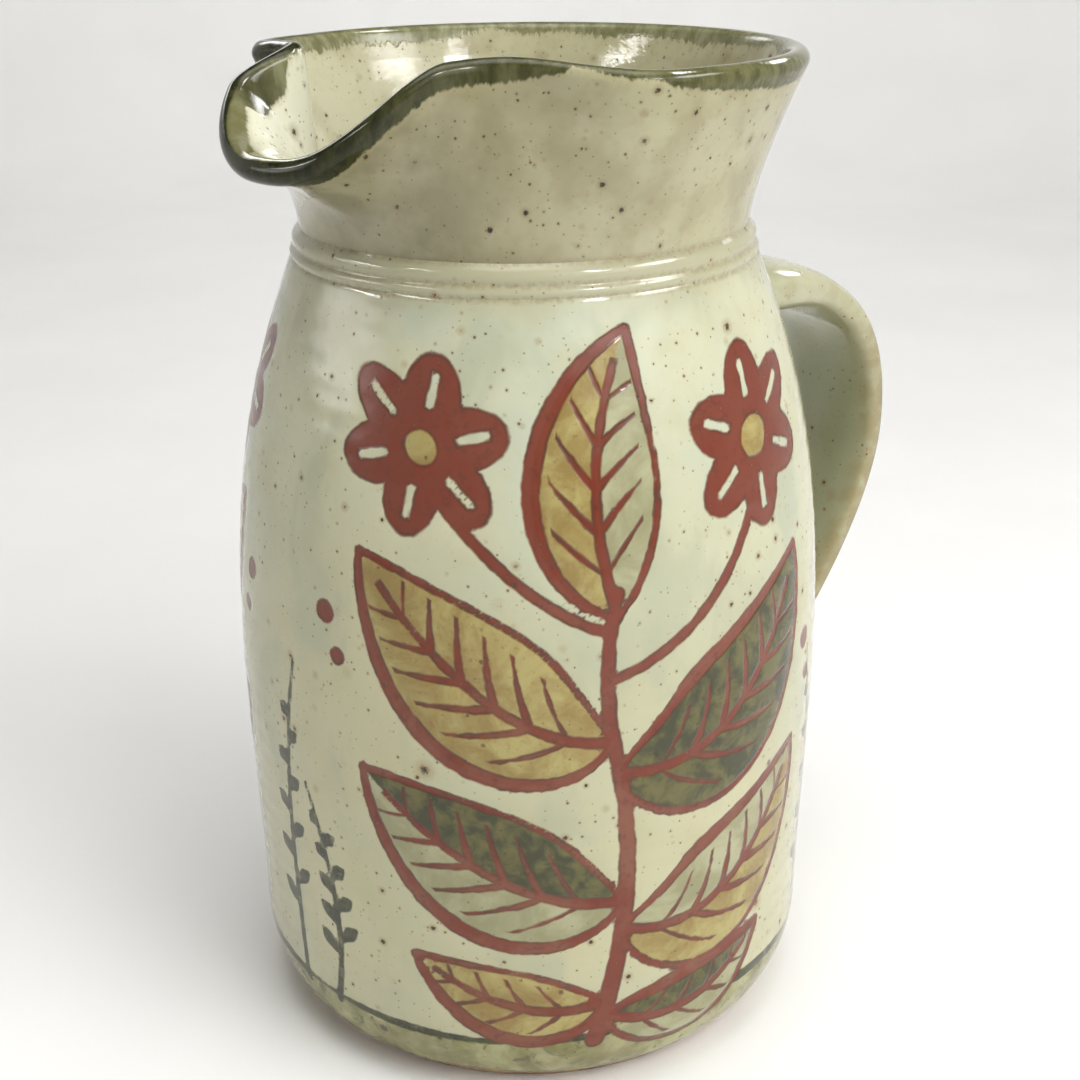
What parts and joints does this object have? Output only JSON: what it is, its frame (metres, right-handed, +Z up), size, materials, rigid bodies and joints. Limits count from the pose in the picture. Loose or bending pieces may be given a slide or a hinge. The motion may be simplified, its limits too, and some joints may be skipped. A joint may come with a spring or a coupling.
{
  "type": "stoneware jug",
  "caption": "Wheel-thrown stoneware jug with tooled rings, a flared neck, a pulled spout, a strap handle and a pale speckled glaze with a dark lip.",
  "frame": {"origin": "centre of the foot's flat face, on the surface that the jug stands on", "axes": "+Z up along the axis of the thrown body, -X towards the spout, +X towards the handle"},
  "size_m": [0.1972, 0.147, 0.2424],
  "materials": {
    "clay": "fired bare stoneware, matt, warm brown with iron specks",
    "body_glaze": "glossy pale oatmeal glaze with iron specks",
    "neck_glaze": "glossy tan-grey glaze with iron specks",
    "rim_glaze": "glossy dark olive glaze with a ragged edge",
    "liner_glaze": "glossy cream liner glaze"
  },
  "bodies": {
    "root": {"body": "clay", "neck": "clay", "handle": "clay", "body_glaze": "body_glaze", "neck_glaze": "neck_glaze", "handle_glaze": "body_glaze", "rim_glaze": "rim_glaze", "liner_glaze": "liner_glaze"}
  },
  "joints": []
}
